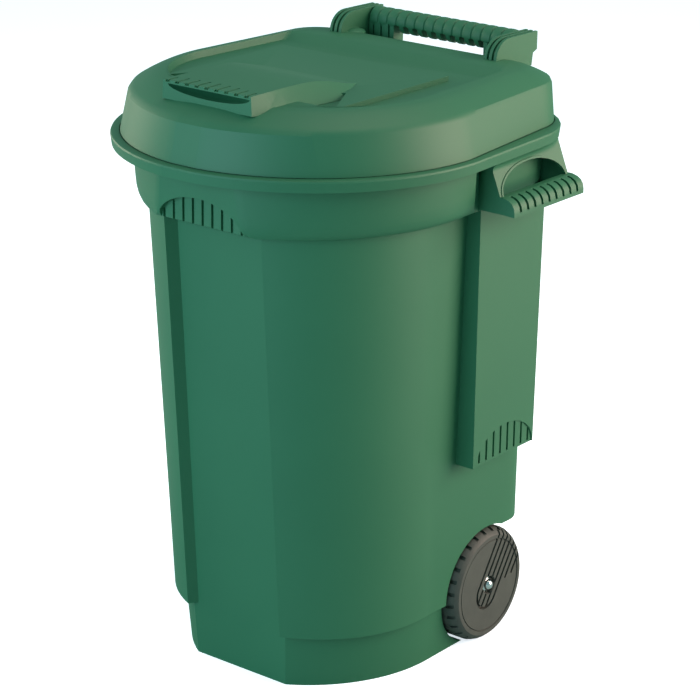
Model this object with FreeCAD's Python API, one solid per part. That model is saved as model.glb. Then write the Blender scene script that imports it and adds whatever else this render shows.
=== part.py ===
import FreeCAD, Part
import math
import os

# Two-wheeled garden waste bin of about 110 litres, in millimetres.
# +Z is up, -Y is the front, +X is on the right when the front is looked at.
# The origin is on the floor, under the centre of the overall box.

# ---- overall ----
HEIGHT = 810.0
FRONT_Y = -280.0            # front of the tub's rim
BACK_Y = 280.0              # back of the lid's hinge arms
WALL = 3.5                  # wall of the tub moulding
LID_WALL = 3.0              # wall of the lid moulding
RUN = 0.05                  # radial running clearance of a shaft in its hole
GAP = 0.3                   # gap between faces that pass each other

# ---- tub heights ----
PLINTH_TOP = 76.0
COLLAR_BASE = 627.0
RIM_BASE = 697.0
RIM_TOP = 712.0

# ---- front panel, a sunken flat facet ----
PANEL_HALF = 71.0
PANEL_Y0 = -160.0           # facet at floor level
PANEL_LEAN = 0.0638         # how far it leans forward per millimetre of height

# ---- side panels under the side handles ----
SIDE_FACE = 220.5
SIDE_FRONT = 46.0
SIDE_BACK = 182.0
SIDE_BASE = 278.0
SIDE_FLARE = 7.0            # how far the back leans outwards up to the collar

# ---- wheels and axle ----
WHEEL_R = 80.0
WHEEL_Y = 123.0
WHEEL_IN = 158.0
HUB_IN = 152.0
WHEEL_OUT = 200.0
AXLE_R = 6.0
WELL_R = 84.5
WELL_IN = 151.0
STEP_TOP = 158.0            # ceiling of the step that houses the axle
STEP_Y = 96.0               # front wall of that step

# ---- rear handle and hinge ----
BAR_Y = 261.0
BAR_R = 16.5
BAR_Z = HEIGHT - BAR_R
POST_IN = 75.0
POST_OUT = 117.5
POST_FRONT = 246.0
POST_BACK = 268.0
ARM_IN = 118.8
ARM_OUT = 138.6
JOURNAL_R = 9.0

# ---- side handles ----
HANDLE_OUT = 275.0
HANDLE_FRONT = 41.0
HANDLE_BACK = 196.0
HANDLE_BASE = 630.0
HANDLE_SILL = 653.0         # top of the bar, where the window starts
PLATE_TOP = 235.0           # outer face of the plate under the rim
PLATE_FOOT = 252.5          # and at the bar
PLATE_BACK = 192.0
WINDOW_HALF = 69.0
WINDOW_RISE = 31.0

# ---- grooves in the wheel's face ----
GROOVE = 3.0
GROOVE_PITCH = 10.5

# ---- ribbing shared by every grip ----
RIB_PITCH = 15.8
RIB_SLOT = 4.0


def point(x, y, z):
    return FreeCAD.Vector(x, y, z)


def block(x0, x1, y0, y1, z0, z1):
    """Box from its lowest to its highest corner."""
    return Part.makeBox(x1 - x0, y1 - y0, z1 - z0, point(x0, y0, z0))


def rod(radius, x0, x1, y, z):
    """Cylinder along X."""
    return Part.makeCylinder(radius, x1 - x0, point(x0, y, z), point(1, 0, 0))


def prism(profile, x0, x1):
    """Polygon given as (y, z) corners, extruded along X."""
    corners = [point(x0, y, z) for y, z in profile]
    wire = Part.makePolygon(corners + [corners[0]])
    return Part.Face(wire).extrude(point(x1 - x0, 0, 0))


def slab(profile, y0, y1):
    """Polygon given as (x, z) corners, extruded along Y."""
    corners = [point(x, y0, z) for x, z in profile]
    wire = Part.makePolygon(corners + [corners[0]])
    return Part.Face(wire).extrude(point(0, y1 - y0, 0))


def mirrored(shape):
    """The same shape on the other side of the bin."""
    return shape.mirror(point(0, 0, 0), point(1, 0, 0))


def fused(shapes):
    """One solid from several that touch or overlap."""
    return shapes[0].multiFuse(shapes[1:]).removeSplitter()


def outline(section, inset):
    """Closed plan outline of the tub or lid, moved inwards by inset.

    A section is (height, half width of the flat front, front y, half width at the side,
    y where the side is widest, half width at the back, back y, rear corner radius,
    how far the front arc is swollen at its middle).
    """
    level, front_half, front_y, side_half, side_y, rear_half, rear_y, corner, bulge = section
    fy = front_y + inset
    fh = front_half - 0.4 * inset
    sh = side_half - inset
    rh = rear_half - inset
    ry = rear_y - inset
    cr = corner - inset
    radius = ((fh - sh) ** 2 + (fy - side_y) ** 2) / (2 * (sh - fh))
    centre_x = sh - radius
    half_turn = 0.5 * math.asin((side_y - fy) / radius)
    reach = radius + bulge
    mid = point(centre_x + reach * math.cos(half_turn), side_y - reach * math.sin(half_turn), level)
    diagonal = cr * (1 - math.sqrt(0.5))
    corner_mid = point(rh - diagonal, ry - diagonal, level)
    right = [point(fh, fy, level), point(sh, side_y, level), point(rh, ry - cr, level)]
    right.append(point(rh - cr, ry, level))
    left = [point(-p.x, p.y, level) for p in right]
    flip = [point(-mid.x, mid.y, level), point(-corner_mid.x, corner_mid.y, level)]
    edges = [
        Part.makeLine(left[0], right[0]),
        Part.Arc(right[0], mid, right[1]).toShape(),
        Part.makeLine(right[1], right[2]),
        Part.Arc(right[2], corner_mid, right[3]).toShape(),
        Part.makeLine(right[3], left[3]),
        Part.Arc(left[3], flip[1], left[2]).toShape(),
        Part.makeLine(left[2], left[1]),
        Part.Arc(left[1], flip[0], left[0]).toShape(),
    ]
    return Part.Wire(edges)


def drafted(lower, upper, inset=0.0):
    """Solid that runs straight from one section to the next."""
    return Part.makeLoft([outline(lower, inset), outline(upper, inset)], True, True)


# ---- tub sections: height, front flat, front y, side, widest y, back, back y, corner, bulge ----
FLOOR = (0.0, 76.0, -160.0, 175.0, 15.0, 175.0, 208.0, 40.0, 0.0)
PLINTH = (PLINTH_TOP, 79.0, -164.8, 181.0, 8.0, 184.0, 210.0, 40.0, 0.0)
BODY_LOW = (PLINTH_TOP, 79.5, -176.6, 188.0, 5.0, 193.0, 214.0, 40.0, 6.0)
BODY_HIGH = (COLLAR_BASE, 79.5, -215.4, 200.0, -20.0, 200.0, 214.0, 46.0, 6.0)
COLLAR_LOW = (COLLAR_BASE, 81.0, -229.0, 217.0, 15.0, 214.0, 236.0, 90.0, 7.0)
COLLAR_BELLY = (650.0, 66.0, -240.0, 228.5, 13.0, 223.0, 243.5, 97.0, 7.7)
COLLAR_HIGH = (RIM_BASE, 60.0, -244.0, 232.0, 12.0, 226.0, 246.0, 100.0, 8.0)
RIM_LOW = (RIM_BASE, 24.0, FRONT_Y + 1.5, 255.5, -18.0, 246.5, 266.5, 126.5, 0.0)
RIM_HIGH = (RIM_TOP, 24.0, FRONT_Y, 257.0, -18.0, 248.0, 268.0, 128.0, 0.0)


def side_panel(grow):
    """Box bulge below one side handle; grow is negative for its hollow."""
    low = SIDE_BASE - grow
    top = COLLAR_BASE + 5.0
    front = SIDE_FRONT - grow
    back = SIDE_BACK + grow
    profile = [(front, low), (back, low), (back + SIDE_FLARE, top), (front, top)]
    return prism(profile, 150.0, SIDE_FACE + grow)


def front_pocket(grow):
    """Everything in front of the sunken facet, between the two front ridges."""
    def facet(z):
        return PANEL_Y0 - PANEL_LEAN * z + grow
    profile = [
        (facet(-20.0), -20.0),
        (facet(COLLAR_BASE), COLLAR_BASE),
        (-400.0, COLLAR_BASE),
        (-400.0, -20.0),
    ]
    half = PANEL_HALF + grow
    pocket = prism(profile, -half, half)
    below = prism([(facet(-20.0), -20.0), (facet(PLINTH_TOP), PLINTH_TOP),
                   (-400.0, PLINTH_TOP), (-400.0, -20.0)], -140.0, 140.0)
    return pocket.fuse(below)


def wheel_wells(grow):
    """Space for the axle and both wheels at the bottom rear."""
    step = block(-400.0, 400.0, STEP_Y - grow, 400.0, -20.0, STEP_TOP + grow)
    well = rod(WELL_R + grow, WELL_IN - grow, 400.0, WHEEL_Y, WHEEL_R)
    return fused([step, well, mirrored(well)])


def gussets():
    """Upright plates under the rim that carry the posts of the rear handle."""
    plates = []
    for x in (POST_IN, POST_OUT - 4.0):
        profile = [(225.0, RIM_BASE), (266.0, RIM_BASE), (264.0, RIM_BASE - 12.0), (225.0, RIM_BASE - 60.0)]
        plates.append(prism(profile, x, x + 4.0))
        plates.append(prism(profile, -x - 4.0, -x))
    return plates


def filled_tub():
    """The tub's outer form, as one solid block."""
    outer = fused([
        drafted(FLOOR, PLINTH),
        drafted(BODY_LOW, BODY_HIGH),
        side_panel(0.0),
        mirrored(side_panel(0.0)),
    ])
    outer = outer.cut(front_pocket(0.0)).cut(wheel_wells(0.0))
    return fused([
        outer,
        drafted(COLLAR_LOW, COLLAR_BELLY),
        drafted(COLLAR_BELLY, COLLAR_HIGH),
        drafted(RIM_LOW, RIM_HIGH),
    ] + gussets())


def tub_hollow():
    """The space inside the tub, from the floor to the mouth."""
    inner = fused([
        drafted(FLOOR, PLINTH, WALL),
        drafted(BODY_LOW, BODY_HIGH, WALL),
        side_panel(-WALL),
        mirrored(side_panel(-WALL)),
    ])
    inner = inner.cut(front_pocket(WALL)).cut(wheel_wells(WALL))
    inner = inner.cut(block(-400.0, 400.0, -400.0, 400.0, -20.0, WALL))
    mouth = [drafted(COLLAR_LOW, COLLAR_BELLY, WALL), drafted(COLLAR_BELLY, COLLAR_HIGH, WALL)]
    throat = drafted(COLLAR_HIGH, (RIM_TOP + 1.0,) + COLLAR_HIGH[1:], WALL)
    return fused([inner] + mouth + [throat])


def make_tub(outer):
    """The one-piece body: plinth, tapered body, side panels, collar and rim."""
    tub = outer.cut(tub_hollow())

    # the rim is a hollow lip, open underneath
    lip = drafted(RIM_LOW, (RIM_TOP - WALL,) + RIM_HIGH[1:], WALL)
    lip_core = drafted(COLLAR_HIGH, (RIM_TOP,) + COLLAR_HIGH[1:])
    tub = tub.cut(lip.cut(lip_core).cut(fused(gussets())))

    # lugs that hold the axle under the step
    for x in (-136.0, -46.0, 46.0, 136.0):
        profile = [
            (STEP_Y - 1.0, 52.0),
            (WHEEL_Y - 4.0, 56.0),
            (WHEEL_Y + 15.0, 70.0),
            (WHEEL_Y + 15.0, 96.0),
            (WHEEL_Y + 40.0, STEP_TOP + 1.0),
            (STEP_Y - 1.0, STEP_TOP + 1.0),
        ]
        lug = prism(profile, x - 6.0, x + 6.0)
        tub = tub.fuse(lug)
    tub = tub.cut(rod(AXLE_R + RUN, -160.0, 160.0, WHEEL_Y, WHEEL_R))
    return tub.removeSplitter()


def make_rear_handle():
    """Two ribbed posts and the round push bar that the lid hinges on."""
    post = block(POST_IN, POST_OUT, POST_FRONT, POST_BACK, RIM_TOP, BAR_Z)
    post = post.cut(block(POST_IN + 4.0, POST_OUT - 4.0, POST_FRONT + 4.0, POST_BACK + 1.0, RIM_TOP, BAR_Z - 26.0))
    for index in range(3):
        x = POST_IN + 8.0 + index * RIB_PITCH * 0.85
        post = post.cut(block(x, x + 3.0, POST_FRONT - 1.0, POST_FRONT + 2.5, RIM_TOP + 8.0, BAR_Z - 6.0))
    bar = rod(BAR_R, -POST_OUT, POST_OUT, BAR_Y, BAR_Z)
    # the upper half carries shallow rings, the lower half deep teeth
    count = 7
    for index in range(-count, count + 1):
        x = index * RIB_PITCH
        ring = rod(BAR_R + 2.0, x - 1.0, x + 1.0, BAR_Y, BAR_Z)
        ring = ring.cut(rod(BAR_R - 1.6, x - 2.0, x + 2.0, BAR_Y, BAR_Z))
        bar = bar.cut(ring)
        if abs(x) < POST_IN:
            tooth = block(x - 3.5, x + 3.5, BAR_Y - 20.0, BAR_Y - 5.0, BAR_Z - 20.0, BAR_Z - 2.0)
            bar = bar.cut(tooth)
            bar = bar.cut(tooth.mirror(point(0, BAR_Y, 0), point(0, 1, 0)))
    journal = rod(JOURNAL_R, POST_OUT, ARM_OUT - 3.0 - GAP, BAR_Y, BAR_Z)
    return fused([bar, post, mirrored(post), journal, mirrored(journal)])


def make_hinge_arm():
    """Right-hand hinge arm of the lid: a curved hook that snaps over the bar's journal."""
    crown = HEIGHT - 0.5
    nose = point(0, 186.0, LID_TOP + 1.0)
    start = point(ARM_IN, nose.y, LID_TOP - 6.0)
    edges = [
        Part.makeLine(start, point(ARM_IN, nose.y, nose.z)),
        Part.Arc(point(ARM_IN, nose.y, nose.z), point(ARM_IN, 194.0, 801.0), point(ARM_IN, 216.0, crown)).toShape(),
        Part.makeLine(point(ARM_IN, 216.0, crown), point(ARM_IN, BACK_Y, crown - 1.0)),
        Part.makeLine(point(ARM_IN, BACK_Y, crown - 1.0), point(ARM_IN, BACK_Y, 784.0)),
        Part.makeLine(point(ARM_IN, BACK_Y, 784.0), point(ARM_IN, 270.5, 780.0)),
        Part.makeLine(point(ARM_IN, 270.5, 780.0), point(ARM_IN, 268.0, 764.0)),
        Part.makeLine(point(ARM_IN, 268.0, 764.0), point(ARM_IN, 240.0, 764.0)),
        Part.makeLine(point(ARM_IN, 240.0, 764.0), start),
    ]
    arm = Part.Face(Part.Wire(edges)).extrude(point(ARM_OUT - ARM_IN, 0, 0))
    arm = arm.cut(rod(JOURNAL_R + GAP, ARM_IN - 5.0, ARM_OUT - 3.0, BAR_Y, BAR_Z))
    # two grooves follow the crown
    for offset in (4.0, 9.5):
        shell = arm.copy()
        core = arm.copy()
        core.translate(point(0, 2.2, -2.2))
        strip = block(ARM_IN + offset, ARM_IN + offset + 2.2, 150.0, BACK_Y + 1.0, LID_TOP + 3.0, HEIGHT + 5.0)
        arm = arm.cut(shell.cut(core).common(strip).common(
            block(0.0, 300.0, 150.0, 262.0, LID_TOP + 3.0, HEIGHT + 5.0)))
    return arm


# ---- lid sections, in the same order as the tub's ----
LID_BASE = RIM_TOP + GAP
LID_EDGE = 766.0
LID_TOP = 783.0
SKIRT_LOW = (LID_BASE, 20.0, -267.5, 246.0, -15.0, 226.0, 258.0, 90.0, 0.0)
SKIRT_HIGH = (LID_EDGE - 5.0, 20.0, -256.0, 236.5, -15.0, 220.5, 254.5, 85.0, 0.0)
SHOULDER = (LID_EDGE, 20.0, -250.0, 233.5, -15.0, 218.0, 252.0, 82.0, 0.0)
SLOPE = (776.3, 20.0, -227.5, 215.3, -15.0, 201.0, 228.0, 61.0, 0.0)
CROWN = (LID_TOP, 20.0, -205.0, 197.0, -15.0, 184.0, 204.0, 40.0, 0.0)
TRAY_FLOOR = 774.0
TRAY_BACK = 150.0
TONGUE_HALF = 70.3
TONGUE_TOP = 800.0
TONGUE_FRONT = -223.5


def lid_block(inset):
    """Outer form of the lid, or its hollow when inset is the wall."""
    layers = [SKIRT_LOW, SKIRT_HIGH, SHOULDER, SLOPE, CROWN]
    parts = [drafted(low, high, inset) for low, high in zip(layers, layers[1:])]
    solid = fused(parts)
    if inset:
        solid.translate(point(0, 0, -inset))
    return solid


def tray_outline(level):
    """Shield-shaped outline of the sunken tray."""
    right = [point(78.0, -155.0, level), point(125.0, -152.0, level), point(178.0, TRAY_BACK, level)]
    bulge = point(187.0, -30.0, level)
    left = [point(-p.x, p.y, level) for p in right]
    edges = [
        Part.makeLine(left[0], right[0]),
        Part.makeLine(right[0], right[1]),
        Part.Arc(right[1], bulge, right[2]).toShape(),
        Part.makeLine(right[2], left[2]),
        Part.Arc(left[2], point(-bulge.x, bulge.y, level), left[1]).toShape(),
        Part.makeLine(left[1], left[0]),
    ]
    return Part.Wire(edges)


def tongue_profile(drop):
    """Side view of the lifting tongue as (y, z) corners, lowered by drop."""
    return [
        (TONGUE_FRONT + drop, TONGUE_TOP - drop),
        (-100.0, TONGUE_TOP - 1.0 - drop),
        (-70.0, TONGUE_TOP - 6.0 - drop),
        (-35.0, TRAY_FLOOR - drop),
        (-35.0, 755.0 - drop),
        (TONGUE_FRONT + drop, 755.0 - drop),
    ]


def make_lid():
    """Domed lid with a sunken tray, a lifting tongue and notches for the handle posts."""
    outer = lid_block(0.0)
    inner = lid_block(LID_WALL)
    tray = Part.Face(tray_outline(TRAY_FLOOR)).extrude(point(0, 0, 40.0))
    under_tray = Part.Face(tray_outline(TRAY_FLOOR - LID_WALL)).extrude(point(0, 0, 40.0))
    tongue = prism(tongue_profile(0.0), -TONGUE_HALF, TONGUE_HALF)
    hollow = prism(tongue_profile(LID_WALL), -TONGUE_HALF + LID_WALL, TONGUE_HALF - LID_WALL)
    finger = prism([(-260.0, 792.0), (-200.0, 792.0), (-196.0, 777.0), (-225.0, 768.0), (-260.0, 764.0)],
                   -TONGUE_HALF + 5.0, TONGUE_HALF - 5.0)
    finger_wall = prism([(-250.0, 796.0), (-196.0, 796.0), (-191.0, 774.0), (-225.0, 764.5), (-245.0, 762.5)],
                        -TONGUE_HALF, TONGUE_HALF)
    outer = outer.cut(tray).fuse(tongue)
    inner = inner.cut(under_tray).fuse(hollow)
    inner = inner.cut(finger_wall)
    lid = outer.cut(inner).cut(finger)
    below = block(-400.0, 400.0, -400.0, 400.0, 600.0, LID_BASE)
    lid = lid.cut(below)

    # ribs across the front of the tongue
    for index in range(-4, 5):
        x = index * RIB_PITCH
        reach = 24.0 - 0.0016 * x * x
        lid = lid.cut(block(x - 1.6, x + 1.6, TONGUE_FRONT - 1.0, TONGUE_FRONT + reach, TONGUE_TOP - 2.0, HEIGHT))

    # notches that clear the posts of the rear handle
    side_gap = 3.0
    notch = block(POST_IN - side_gap, ARM_IN, POST_FRONT - 4.0, 400.0, 600.0, HEIGHT)
    wall = block(POST_IN - side_gap - LID_WALL, ARM_IN + LID_WALL, POST_FRONT - 4.0 - LID_WALL, 400.0,
                 LID_BASE, HEIGHT).common(outer)
    for shape in (wall, mirrored(wall)):
        lid = lid.fuse(shape)
    lid = lid.cut(notch).cut(mirrored(notch))
    arm = make_hinge_arm()
    return lid.cut(arm).cut(mirrored(arm)).removeSplitter()


def make_side_handle():
    """Right-hand side handle: sloping plate with an arched window over a ribbed bar."""
    plate = slab([(PLATE_TOP - WALL, RIM_BASE), (PLATE_TOP, RIM_BASE), (PLATE_FOOT, HANDLE_SILL),
                  (PLATE_FOOT - WALL, HANDLE_SILL)], HANDLE_FRONT, PLATE_BACK)
    bar = slab([(PLATE_FOOT - WALL, HANDLE_BASE + 2.0), (PLATE_FOOT - WALL, HANDLE_SILL),
                (PLATE_FOOT + 3.0, HANDLE_SILL), (HANDLE_OUT - 9.0, HANDLE_BASE + 20.5),
                (HANDLE_OUT - 3.0, HANDLE_BASE + 15.0), (HANDLE_OUT, HANDLE_BASE + 8.0),
                (HANDLE_OUT, HANDLE_BASE)], HANDLE_FRONT, HANDLE_BACK)
    cheek = [(195.0, RIM_BASE), (PLATE_TOP - 1.0, RIM_BASE), (PLATE_FOOT - 1.0, HANDLE_SILL),
             (PLATE_FOOT + 8.0, HANDLE_BASE + 2.0), (195.0, HANDLE_BASE + 2.0)]
    front = slab(cheek, HANDLE_FRONT, HANDLE_FRONT + WALL)
    back = slab(cheek, PLATE_BACK - WALL, PLATE_BACK)
    handle = fused([plate, bar, front, back])
    middle = (HANDLE_FRONT + PLATE_BACK) / 2
    foot = point(200.0, middle + WINDOW_HALF, HANDLE_SILL)
    far_foot = point(200.0, middle - WINDOW_HALF, HANDLE_SILL)
    crown = point(200.0, middle, HANDLE_SILL + WINDOW_RISE)
    edges = [Part.makeLine(far_foot, foot), Part.Arc(foot, crown, far_foot).toShape()]
    arch = Part.Face(Part.Wire(edges)).extrude(point(120.0, 0, 0))
    inner_face = PLATE_TOP - WALL - 1.0
    handle = handle.cut(arch.common(block(inner_face, 300.0, HANDLE_FRONT + WALL, PLATE_BACK - WALL, 600.0, 700.0)))
    for index in range(9):
        y = (HANDLE_FRONT + HANDLE_BACK) / 2 + (index - 4) * RIB_PITCH
        handle = handle.cut(block(HANDLE_OUT - 12.0, HANDLE_OUT + 1.0, y - RIB_SLOT / 2, y + RIB_SLOT / 2,
                                  HANDLE_BASE + 3.5, HANDLE_BASE + 30.0))
    return handle


def make_wheel():
    """Right-hand moulded wheel with tread blocks, a keyhole channel and slanting ribs."""
    profile = [
        (HUB_IN, 0.0), (HUB_IN, 16.0), (WHEEL_IN + 14.0, 18.0), (WHEEL_IN + 14.0, 66.0),
        (WHEEL_IN, 68.0), (WHEEL_IN, WHEEL_R - 4.0), (WHEEL_IN + 3.0, WHEEL_R), (WHEEL_OUT - 13.0, WHEEL_R),
        (WHEEL_OUT - 2.0, 73.5), (WHEEL_OUT, 71.0), (WHEEL_OUT, 65.6), (WHEEL_OUT - 2.0, 65.0),
        (WHEEL_OUT - 2.0, 64.2), (WHEEL_OUT - 0.6, 63.6), (WHEEL_OUT - 0.6, 0.0),
    ]
    corners = [point(x, 0, r) for x, r in profile]
    face = Part.Face(Part.makePolygon(corners + [corners[0]]))
    wheel = face.revolve(point(0, 0, 0), point(1, 0, 0), 360)
    # grooves that run from the hub to the rim and leave upright bars between them
    floor = WHEEL_OUT - 8.0
    end = 21.0
    grooves = [rod(13.0, floor, WHEEL_OUT + 1.0, 0.0, 0.0)]
    loop = rod(end + GROOVE / 2, floor, WHEEL_OUT + 1.0, 0.0, -12.0)
    loop = loop.cut(rod(end - GROOVE / 2, floor, WHEEL_OUT + 1.0, 0.0, -12.0))
    grooves.append(loop.common(block(floor, WHEEL_OUT + 1.0, -60.0, 60.0, -60.0, -12.0)))
    for index in range(-2, 5):
        across = index * GROOVE_PITCH
        start = -12.0 if abs(index) == 2 else -12.0 - math.sqrt(max(0.0, end ** 2 - across ** 2))
        start = 10.0 * index - 12.0 if index > 2 else start
        grooves.append(block(floor, WHEEL_OUT + 1.0, across - GROOVE / 2, across + GROOVE / 2, start, 90.0))
    wheel = wheel.cut(fused(grooves))
    # tread slots across the shoulder
    count = 28
    for index in range(count):
        slot = block(WHEEL_OUT - 15.0, WHEEL_OUT + 1.0, -2.6, 2.6, WHEEL_R - 4.5, WHEEL_R + 5.0)
        slot = slot.fuse(block(WHEEL_IN - 1.0, WHEEL_IN + 18.0, -2.6, 2.6, WHEEL_R - 3.0, WHEEL_R + 5.0))
        slot.rotate(point(0, 0, 0), point(1, 0, 0), 360.0 * index / count)
        wheel = wheel.cut(slot)
    wheel = wheel.cut(rod(AXLE_R + RUN, HUB_IN - 1.0, WHEEL_OUT + 1.0, 0.0, 0.0))
    wheel.rotate(point(0, 0, 0), point(1, 0, 0), -32.0)
    wheel.translate(point(0, WHEEL_Y, WHEEL_R))
    return wheel


def make_axle():
    """Plain steel bar through the lugs and both wheels."""
    half = WHEEL_OUT - 1.0
    return rod(AXLE_R, -half, half, WHEEL_Y, WHEEL_R)


def make_washer():
    """Flat steel washer between the right wheel and its cap."""
    start = WHEEL_OUT - 8.0 + GAP
    washer = rod(11.0, start, start + 1.5, WHEEL_Y, WHEEL_R)
    return washer.cut(rod(AXLE_R + RUN, start - 1.0, start + 3.0, WHEEL_Y, WHEEL_R))


def make_cap():
    """Domed push-on cap that grips the right end of the axle."""
    base = WHEEL_OUT - 8.0 + GAP + 1.5
    end = WHEEL_OUT - 1.0
    rim = 9.5
    profile = Part.Wire([
        Part.makeLine(point(base, 0, 0), point(base, 0, rim)),
        Part.makeLine(point(base, 0, rim), point(base + 1.4, 0, rim)),
        Part.makeLine(point(base + 1.4, 0, rim), point(base + 2.2, 0, 7.4)),
        Part.Arc(point(base + 2.2, 0, 7.4), point(base + 7.4, 0, 5.4), point(base + 9.4, 0, 1.6)).toShape(),
        Part.makeLine(point(base + 9.4, 0, 1.6), point(base + 9.4, 0, 0)),
        Part.makeLine(point(base + 9.4, 0, 0), point(base, 0, 0)),
    ])
    cap = Part.Face(profile).revolve(point(0, 0, 0), point(1, 0, 0), 360)
    cap.translate(point(0, WHEEL_Y, WHEEL_R))
    return cap.cut(rod(AXLE_R, base - 1.0, end, WHEEL_Y, WHEEL_R))


def main():
    os.makedirs("parts", exist_ok=True)
    outer = filled_tub()
    tub = make_tub(outer)
    rear_handle = make_rear_handle().cut(outer)
    side_handle = make_side_handle().cut(outer)
    arm = make_hinge_arm()
    wheel = make_wheel()
    washer = make_washer()
    cap = make_cap()
    nodes = {
        "tub": tub,
        "rear_handle": rear_handle,
        "side_handle_right": side_handle,
        "side_handle_left": mirrored(side_handle),
        "lid": make_lid(),
        "hinge_arm_right": arm,
        "hinge_arm_left": mirrored(arm),
        "axle": make_axle(),
        "wheel_right": wheel,
        "wheel_left": mirrored(wheel),
        "axle_washer_right": washer,
        "axle_washer_left": mirrored(washer),
        "axle_cap_right": cap,
        "axle_cap_left": mirrored(cap),
    }
    for name, shape in nodes.items():
        box = shape.BoundBox
        print(name, shape.isValid(), len(shape.Solids), round(shape.Volume / 1000, 1),
              [round(v, 1) for v in (box.XMin, box.XMax, box.YMin, box.YMax, box.ZMin, box.ZMax)])
        shape.exportStep("parts/" + name + ".step")


main()
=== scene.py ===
import math
from collections import namedtuple

import bmesh
import bpy
from mathutils import Matrix, Vector


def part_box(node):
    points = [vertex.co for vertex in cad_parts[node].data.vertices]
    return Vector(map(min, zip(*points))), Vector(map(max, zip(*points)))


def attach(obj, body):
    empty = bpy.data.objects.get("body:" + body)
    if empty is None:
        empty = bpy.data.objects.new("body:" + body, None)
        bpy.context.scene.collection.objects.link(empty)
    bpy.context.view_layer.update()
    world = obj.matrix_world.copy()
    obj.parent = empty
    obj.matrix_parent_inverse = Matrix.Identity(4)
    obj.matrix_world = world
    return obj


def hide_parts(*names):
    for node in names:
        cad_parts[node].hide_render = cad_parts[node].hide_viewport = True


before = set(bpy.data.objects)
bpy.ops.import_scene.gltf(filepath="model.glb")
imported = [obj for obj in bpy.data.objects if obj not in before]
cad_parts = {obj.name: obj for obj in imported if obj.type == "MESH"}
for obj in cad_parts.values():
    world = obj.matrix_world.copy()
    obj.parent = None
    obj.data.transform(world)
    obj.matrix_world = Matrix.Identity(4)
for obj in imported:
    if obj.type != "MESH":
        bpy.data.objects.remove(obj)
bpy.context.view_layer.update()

# All sizes are in millimetres. A finished mesh is scaled to metres once, in finish_piece.
MM = 0.001
WALL = 3.5                  # wall of the tub moulding
LID_WALL = 3.0              # wall of the lid moulding
RIB_PITCH = 15.8            # spacing of the ribs on every grip
FAR = 400.0                 # reach of a cutter that goes right through
BORE_R = 6.05               # hole for the axle, with its running clearance
EDGE_ANGLE = 28.0           # edges sharper than this are rounded

AXLE_Y, AXLE_Z = (1000.0 * (a + b) / 2 for a, b in zip(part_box("axle")[0][1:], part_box("axle")[1][1:]))
RIM_TOP = 1000.0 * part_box("tub")[1].z
BAR_LOW, BAR_HIGH = (1000.0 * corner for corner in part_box("rear_handle"))
LID_BASE = 1000.0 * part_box("lid")[0].z


# ---------------------------------------------------------------- materials

def linear(code):
    """Linear colour of an sRGB hex value."""
    parts = [int(code[i:i + 2], 16) / 255.0 for i in (1, 3, 5)]
    return tuple(p / 12.92 if p <= 0.04045 else ((p + 0.055) / 1.055) ** 2.4 for p in parts) + (1.0,)


def add_node(tree, kind, settings=None, **inputs):
    """New node; an input is a value or another node's output."""
    node = tree.nodes.new(kind)
    for name, value in (settings or {}).items():
        setattr(node, name, value)
    for name, value in inputs.items():
        socket = node.inputs[name.replace("_", " ")]
        if isinstance(value, bpy.types.NodeSocket):
            tree.links.new(value, socket)
        else:
            socket.default_value = value
    return node


def new_material(name):
    """Empty material with its output node; returns the material, its tree and the surface socket."""
    material = bpy.data.materials.new(name)
    material.use_nodes = True
    tree = material.node_tree
    tree.nodes.clear()
    output = tree.nodes.new("ShaderNodeOutputMaterial")
    return material, tree, output.inputs["Surface"]


def ramp(tree, factor, low, high):
    """Two-colour ramp."""
    node = add_node(tree, "ShaderNodeValToRGB", Fac=factor)
    node.color_ramp.elements[0].color = low
    node.color_ramp.elements[1].color = high
    return node


def satin_polypropylene():
    """Injection-moulded polypropylene: even deep green, a satin skin with a broad soft highlight.

    The mould's spark-eroded grain is about 0.4 mm; it is drawn at 1.5 mm so that it shows.
    """
    material, tree, surface = new_material("satin_green_polypropylene")
    place = add_node(tree, "ShaderNodeTexCoord").outputs["Object"]
    flow = add_node(tree, "ShaderNodeTexNoise", Vector=place, Scale=6.0, Detail=3.0, Roughness=0.5)
    grain = add_node(tree, "ShaderNodeTexNoise", Vector=place, Scale=1.0 / (1.5 * MM), Detail=2.0)
    tint = ramp(tree, flow.outputs["Fac"], linear("#27694a"), linear("#2d704f"))
    gloss = add_node(tree, "ShaderNodeMapRange", Value=flow.outputs["Fac"], To_Min=0.5, To_Max=0.58)
    bump = add_node(tree, "ShaderNodeBump", Height=grain.outputs["Fac"], Strength=0.12, Distance=0.15 * MM)
    shader = add_node(tree, "ShaderNodeBsdfPrincipled", Base_Color=tint.outputs["Color"],
                      Roughness=gloss.outputs["Result"], IOR=1.49, Normal=bump.outputs["Normal"])
    tree.links.new(shader.outputs["BSDF"], surface)
    return material


def moulded_wheel_plastic():
    """Filled polyethylene, matt dark grey with a slightly dusty, uneven skin."""
    material, tree, surface = new_material("moulded_grey_polyethylene")
    place = add_node(tree, "ShaderNodeTexCoord").outputs["Object"]
    dust = add_node(tree, "ShaderNodeTexNoise", Vector=place, Scale=45.0, Detail=5.0, Roughness=0.6)
    grain = add_node(tree, "ShaderNodeTexNoise", Vector=place, Scale=1.0 / (1.2 * MM), Detail=2.0)
    tint = ramp(tree, dust.outputs["Fac"], linear("#3c413e"), linear("#525751"))
    bump = add_node(tree, "ShaderNodeBump", Height=grain.outputs["Fac"], Strength=0.25, Distance=0.2 * MM)
    shader = add_node(tree, "ShaderNodeBsdfPrincipled", Base_Color=tint.outputs["Color"],
                      Roughness=0.55, IOR=1.5, Normal=bump.outputs["Normal"])
    tree.links.new(shader.outputs["BSDF"], surface)
    return material


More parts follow.
